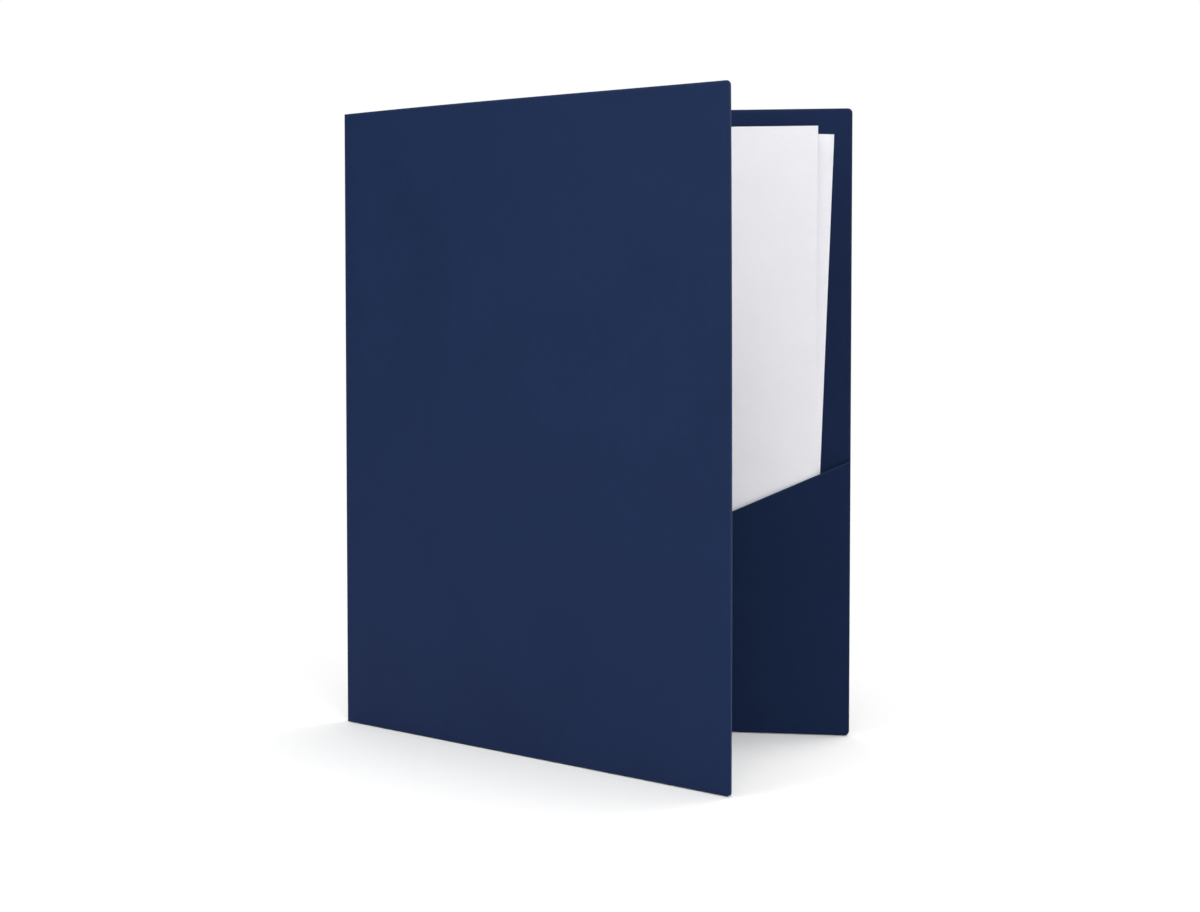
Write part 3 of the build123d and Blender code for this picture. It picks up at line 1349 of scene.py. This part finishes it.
class SheetMaker:
    """Makes sets of sheets, face to face, with right edges at X = 0 and feet at Y = 0, that lean towards +Z.

    Attributes:
        columns: How many points a sheet has across.
        rows: How many points it has up its height.
        rise_share: How far a sheet is shuffled up or down, as a share of how far it is shuffled sideways.
        held_power: The power by which the lean grows up to the pocket's mouth.
        free_power: The power by which the bend above the mouth dies away towards the top.
    """

    columns: int = 12
    rows: int = 29
    rise_share: float = 0.3
    held_power: float = 2.0
    free_power: float = 2.2

    def __init__(self) -> None:
        """Draws the recipe."""
        sheet = ("Width", "Height", "Thickness")
        stand = ("Held Height", "Held Lean", "Lean", "Fan", "Step", "Turn", "Jitter")
        self.recipe = ShapeRecipe("Sheet Set", sheet + stand, ("Count", "Seed"))
        self.recipe.close(self._leaning(self._shuffled()))

    def _shuffled(self) -> bpy.types.NodeSocket:
        """Draws the sheets upright, each shuffled, stepped aside and turned by its place in the set.

        Returns:
            The sheets' geometry.
        """
        recipe = self.recipe
        sketch = recipe.sketch
        given = recipe.given
        width = given["Width"]
        height = given["Height"]
        sheet = recipe.thick_grid(width, height, self.columns, self.rows, given["Thickness"])
        middle = sketch.vector(sketch.math("MULTIPLY", width, -0.5), sketch.math("MULTIPLY", height, 0.5))
        corner = {"Geometry": sheet, "Translation": middle}
        standing = sketch.add("GeometryNodeTransform", corner).outputs[0]
        line = {"Count": given["Count"], "Offset": sketch.vector(z=given["Thickness"])}
        places = sketch.add("GeometryNodeMeshLine", line).outputs[0]
        index = sketch.add("GeometryNodeInputIndex").outputs[0]
        share = sketch.math("DIVIDE", index, sketch.math("SUBTRACT", given["Count"], 1.0))
        counted = recipe.mark(places, SHEET_SHARE, share)
        rise = sketch.math("MULTIPLY", given["Jitter"], self.rise_share)
        spread = sketch.vector(given["Jitter"], rise)
        back = sketch.add("ShaderNodeVectorMath", {0: spread, "Scale": -1.0}, operation="SCALE").outputs[0]
        draw = {"Min": back, "Max": spread, "Seed": given["Seed"]}
        shuffle = sketch.add("FunctionNodeRandomValue", draw, data_type="FLOAT_VECTOR").outputs[0]
        aside = sketch.math("MULTIPLY", sketch.math("MULTIPLY", share, given["Step"]), -1.0)
        parts = {0: shuffle, 1: sketch.vector(aside)}
        offset = sketch.add("ShaderNodeVectorMath", parts, operation="ADD").outputs[0]
        shuffled = sketch.add("GeometryNodeSetPosition", {"Geometry": counted, "Offset": offset}).outputs[0]
        turned = sketch.vector(z=sketch.math("MULTIPLY", share, given["Turn"]))
        sockets = {"Points": shuffled, "Instance": standing, "Rotation": turned}
        instances = sketch.add("GeometryNodeInstanceOnPoints", sockets).outputs[0]
        return sketch.add("GeometryNodeRealizeInstances", {"Geometry": instances}).outputs[0]

    def _leaning(self, sheets: bpy.types.NodeSocket) -> bpy.types.NodeSocket:
        """Leans the sheets: a little where the pocket holds them, and more above, where they fan out.

        Args:
            sheets: The upright sheets.

        Returns:
            The leaning sheets.
        """
        sketch = self.recipe.sketch
        given = self.recipe.given
        up = self.recipe.spot()["Y"]
        held_rise = sketch.math("DIVIDE", up, given["Held Height"])
        held_share = sketch.add("ShaderNodeClamp", {0: held_rise}).outputs[0]
        held = sketch.math("MULTIPLY", given["Held Lean"], sketch.math("POWER", held_share, self.held_power))
        free = sketch.math("SUBTRACT", up, given["Held Height"])
        free_room = sketch.math("SUBTRACT", given["Height"], given["Held Height"])
        free_rise = sketch.math("DIVIDE", free, free_room)
        free_share = sketch.add("ShaderNodeClamp", {0: free_rise}).outputs[0]
        still_to_go = sketch.math("SUBTRACT", 1.0, free_share)
        bend = sketch.math("SUBTRACT", 1.0, sketch.math("POWER", still_to_go, self.free_power))
        stored = sketch.add("GeometryNodeInputNamedAttribute", {"Name": SHEET_SHARE}, data_type="FLOAT")
        more = sketch.math("SUBTRACT", given["Lean"], given["Held Lean"])
        reach = sketch.math("MULTIPLY_ADD", stored.outputs[0], given["Fan"], more)
        lift = sketch.vector(z=sketch.math("MULTIPLY_ADD", reach, bend, held))
        return sketch.add("GeometryNodeSetPosition", {"Geometry": sheets, "Offset": lift}).outputs[0]


@dataclass(frozen=True)
class SheetSet:
    """A set of loose sheets that stands in the back pocket.

    Attributes:
        name: The set's name, as in its nodes and its body.
        held_lean: How far the whole set leans forward where the pocket's mouth holds it, in metres.
        lean: How far it leans forward at the top.
        fan: How far the foremost sheet stands off the hindmost there.
        jitter: How far a sheet may lie out of line with the others.
        seed: The seed of that jitter.
    """

    name: str
    held_lean: float
    lean: float
    fan: float
    jitter: float
    seed: int

    def build(self, sizes: FolderSizes, maker: SheetMaker, paper: bpy.types.Material) -> bpy.types.Object:
        """Makes the set.

        Args:
            sizes: The folder's sizes.
            maker: Makes sets of sheets.
            paper: The finish of the sheets.

        Returns:
            The set, as one piece.
        """
        body = f"{self.name}_sheets"
        nodes = sorted(frame["record"]["behaviour"]["bodies"][body])
        first = SheetStand.read(nodes[0], sizes.sheet)
        last = SheetStand.read(nodes[-1], sizes.sheet)
        values = {
            "Count": len(nodes),
            "Width": sizes.sheet.x,
            "Height": sizes.sheet.z,
            "Thickness": sizes.sheet.y,
            "Held Height": sizes.mouth_outer_height - first.foot.z,
            "Held Lean": self.held_lean,
            "Lean": self.lean,
            "Fan": self.fan,
            "Step": first.foot.x - last.foot.x,
            "Turn": first.tilt - last.tilt,
            "Jitter": self.jitter,
            "Seed": self.seed,
            "Finish": paper,
        }
        piece = maker.recipe.run(f"{self.name}_sheet_set", values, first.place)
        return settle(piece, body, Slot.PAPER, *nodes)


@dataclass(frozen=True)
class SoftLamp:
    """A softbox.

    Attributes:
        name: Its name.
        place: Where it hangs, in metres.
        width: Its width.
        height: Its height.
        watts: Its power.
        aim: What it points at.
        kept_off: The pieces that its own light is kept off.
    """

    name: str
    place: Point
    width: float
    height: float
    watts: float
    aim: Point = FOLDER_MIDDLE
    kept_off: tuple[str, ...] = ()

    def shade(self, lamp: bpy.types.Object) -> None:
        """Keeps the lamp's own light off the pieces that it would bleach.

        Args:
            lamp: The lamp.
        """
        spared = bpy.data.collections.new(f"{self.name}_kept_off")
        for name in self.kept_off:
            spared.objects.link(bpy.data.objects[name])
        for item in spared.collection_objects:
            item.light_linking.link_state = "EXCLUDE"
        lamp.light_linking.receiver_collection = spared

    def build(self) -> bpy.types.Object:
        """Hangs the lamp.

        Returns:
            The lamp.
        """
        light = bpy.data.lights.new(self.name, "AREA")
        light.shape = "RECTANGLE"
        light.size = self.width
        light.size_y = self.height
        light.energy = self.watts
        lamp = bpy.data.objects.new(self.name, light)
        lamp.visible_camera = False
        lamp.location = self.place
        lamp.rotation_euler = (Vector(self.aim) - Vector(self.place)).to_track_quat("-Z", "Y").to_euler()
        bpy.context.scene.collection.objects.link(lamp)
        if self.kept_off:
            self.shade(lamp)
        return lamp


@dataclass(frozen=True)
class FloorFinish:
    """Matte pale floor: it shows the folder's shadow, is plain white further out and clear from below.

    Attributes:
        name: The material's name.
        colour: Its colour.
        fade_start: How far from the middle it starts to turn plain white, in metres.
        fade_end: How far from the middle it is plain white.
        grain_scale: How fine its grain is.
        grain_detail: The detail of that grain.
        grain_roughness: The roughness of that grain.
        roughness: Its roughness where the grain is 0.
        roughness_swing: How much rougher it is where the grain is 1.
        specular: The level of its sheen.
    """

    name: str = "pale_floor"
    colour: Colour = (0.935, 0.935, 0.93, 1.0)
    fade_start: float = 0.17
    fade_end: float = 0.36
    grain_scale: float = 900.0
    grain_detail: float = 2.0
    grain_roughness: float = 0.5
    roughness: float = 0.85
    roughness_swing: float = 0.1
    specular: float = 0.1

    def build(self) -> bpy.types.Material:
        """Makes the material.

        Returns:
            The material.
        """
        material, sketch = new_material(self.name)
        coords = sketch.object_coords()
        away = sketch.add("ShaderNodeVectorMath", {0: coords}, operation="LENGTH").outputs["Value"]
        far = sketch.ramp(away, self.fade_start, self.fade_end, 0.0, 1.0)
        grain = sketch.noise(coords, self.grain_scale, self.grain_detail, self.grain_roughness)
        rough = sketch.math("MULTIPLY_ADD", grain, self.roughness_swing, self.roughness)
        sockets = {"Base Color": self.colour, "Roughness": rough, "Specular IOR Level": self.specular}
        matte = sketch.add("ShaderNodeBsdfPrincipled", sockets).outputs[0]
        white = sketch.add("ShaderNodeEmission", {"Strength": 1.0}).outputs[0]
        seen = sketch.add("ShaderNodeLightPath").outputs["Is Camera Ray"]
        share = sketch.math("MULTIPLY", far, seen)
        mixed = sketch.add("ShaderNodeMixShader", {0: share, 1: matte, 2: white}).outputs[0]
        under = sketch.math("MULTIPLY", sketch.add("ShaderNodeNewGeometry").outputs["Backfacing"], seen)
        clear = sketch.add("ShaderNodeBsdfTransparent").outputs[0]
        surface = sketch.add("ShaderNodeMixShader", {0: under, 1: mixed, 2: clear}).outputs[0]
        sketch.add("ShaderNodeOutputMaterial", {"Surface": surface})
        return material


@dataclass(frozen=True)
class Studio:
    """A pale floor that runs into a white background, with soft light.

    The front left lamp lights the covers. It is kept off the sheets, which would clip to white wherever the
    front cover doesn't shade them from it.

    Attributes:
        backdrop_glow: The strength of the backdrop's light on the folder.
        backdrop_axis: The direction in which the backdrop lies.
        backdrop_power: The power by which its glow dies away from that direction.
        floor_half: Half the width of the floor, in metres.
        floor_drop: How far the floor lies below the folder.
        floor_finish: The floor's finish.
        lamps: The lamps.
    """

    backdrop_glow: float = 0.9
    backdrop_axis: Point = (0.0, 0.98, 0.2)
    backdrop_power: float = 2.0
    floor_half: float = 4.0
    floor_drop: float = 0.0002
    floor_finish: FloorFinish = FloorFinish()
    lamps: tuple[SoftLamp, ...] = (
        SoftLamp("overhead", (0.0, 0.0, 1.3), 1.2, 1.2, 13.6),
        SoftLamp("front_left", (-0.553, -0.553, 0.316), 0.55, 0.45, 3.5, kept_off=SHEET_SETS),
        SoftLamp("high_front", (0.15, -0.6, 0.8), 0.3, 0.3, 1.85),
        SoftLamp("front_right", (0.38, -0.74, 0.35), 0.3, 0.3, 1.95),
        SoftLamp("back_right", (0.4, 0.4, 0.716), 0.45, 0.45, 1.6),
        SoftLamp("over_opening", (0.0, -0.06, 0.5), 0.08, 0.08, 0.2, aim=(0.1, 0.06, 0.2)),
    )

    def build_floor(self) -> bpy.types.Object:
        """Lays the floor.

        Returns:
            The floor.
        """
        half = self.floor_half
        mesh = bpy.data.meshes.new("floor")
        corners = [(-half, -half), (half, -half), (half, half), (-half, half)]
        mesh.from_pydata([(x, y, -self.floor_drop) for x, y in corners], [], [(0, 1, 2, 3)])
        mesh.materials.append(self.floor_finish.build())
        floor = bpy.data.objects.new("floor", mesh)
        bpy.context.scene.collection.objects.link(floor)
        return floor

    def build_world(self) -> bpy.types.World:
        """Makes the world: white where it is seen, and elsewhere the glow of a backdrop behind the folder.

        Returns:
            The world.
        """
        world = bpy.data.worlds.new("studio")
        world.use_nodes = True
        world.node_tree.nodes.clear()
        sketch = NodeSketch(world.node_tree)
        path = sketch.add("ShaderNodeLightPath").outputs
        shown = sketch.math("MAXIMUM", path["Is Camera Ray"], path["Is Transmission Ray"])
        directions = {0: sketch.add("ShaderNodeTexCoord").outputs["Generated"], 1: self.backdrop_axis}
        facing = sketch.add("ShaderNodeVectorMath", directions, operation="DOT_PRODUCT").outputs["Value"]
        backdrop = sketch.math("POWER", sketch.math("MAXIMUM", facing, 0.0), self.backdrop_power)
        glow = self.backdrop_glow
        level = sketch.math("MULTIPLY_ADD", path["Is Glossy Ray"], 1.0 - glow, glow)
        strength = sketch.math("MAXIMUM", shown, sketch.math("MULTIPLY", backdrop, level))
        light = sketch.add("ShaderNodeBackground", {"Color": WHITE, "Strength": strength}).outputs[0]
        sketch.add("ShaderNodeOutputWorld", {"Surface": light})
        bpy.context.scene.world = world
        return world

    def build(self) -> None:
        """Sets up the floor, the world and the lamps."""
        self.build_floor()
        self.build_world()
        for lamp in self.lamps:
            lamp.build()
        bpy.context.scene.view_settings.view_transform = "Standard"


@dataclass(frozen=True)
class PhotoCamera:
    """The camera, where the photograph was taken from.

    Attributes:
        place: Where it stands, in metres.
        turn: How far it is turned to the left, in degrees.
        pitch: How far it looks up, in degrees.
        lens: Its focal length, in millimetres.
        frame_width: The width of its frame, in millimetres.
        shift: How far the frame is shifted up, as a share of its width.
        nearest: The nearest distance that it shows, in metres.
    """

    place: Point = (0.16268, -0.95445, 0.20333)
    turn: float = 8.895
    pitch: float = -2.8081
    lens: float = 65.699
    frame_width: float = 36.0
    shift: float = -0.04
    nearest: float = 0.01

    def build(self) -> bpy.types.Object:
        """Sets the camera up and makes it the scene's own.

        Returns:
            The camera.
        """
        data = bpy.data.cameras.new("photo_camera")
        data.sensor_width = self.frame_width
        data.sensor_fit = "HORIZONTAL"
        data.lens = self.lens
        data.shift_y = self.shift
        data.clip_start = self.nearest
        camera = bpy.data.objects.new("photo_camera", data)
        camera.location = self.place
        camera.rotation_euler = (math.radians(90.0 + self.pitch), 0.0, math.radians(self.turn))
        bpy.context.scene.collection.objects.link(camera)
        bpy.context.scene.camera = camera
        return camera


def report(piece: bpy.types.Object) -> None:
    """Reports a piece and how many faces it has."""
    LOG.info("%s: %d faces", piece.name, len(piece.data.polygons))


def main() -> None:
    logging.basicConfig(level=logging.INFO, format="%(message)s")
    sizes = FolderSizes.read(frame["record"])
    finishes = Finishes.build()
    panels = PanelMaker(sizes.board, finishes)
    bends = BendMaker(sizes.board, finishes.fold)
    back = HalfSpace(sizes, Side.BACK, CoverBow())
    front = HalfSpace(sizes, Side.FRONT, CoverBow(rise=0.0030, twist=0.0017))
    filled = PocketState(sizes.pocket_depth, bulge=0.0010)
    empty = PocketState(depth=0.0006, set_in=0.0012, relief=0.0008)
    for space, pocket in ((back, filled), (front, empty)):
        for piece in BoardHalf(space, pocket, panels, bends, finishes.glue).build():
            report(piece)
    report(SpineFold(sizes, bends).build())
    maker = SheetMaker()
    straight = SheetSet("straight", held_lean=0.00045, lean=0.0024, fan=0.0004, jitter=0.00020, seed=3)
    tilted = SheetSet("tilted", held_lean=0.0, lean=0.0, fan=0.0003, jitter=0.00010, seed=8)
    for sheets in (straight, tilted):
        report(sheets.build(sizes, maker, finishes.paper))
    Studio().build()
    PhotoCamera().build()


if __name__ == "__main__":
    main()
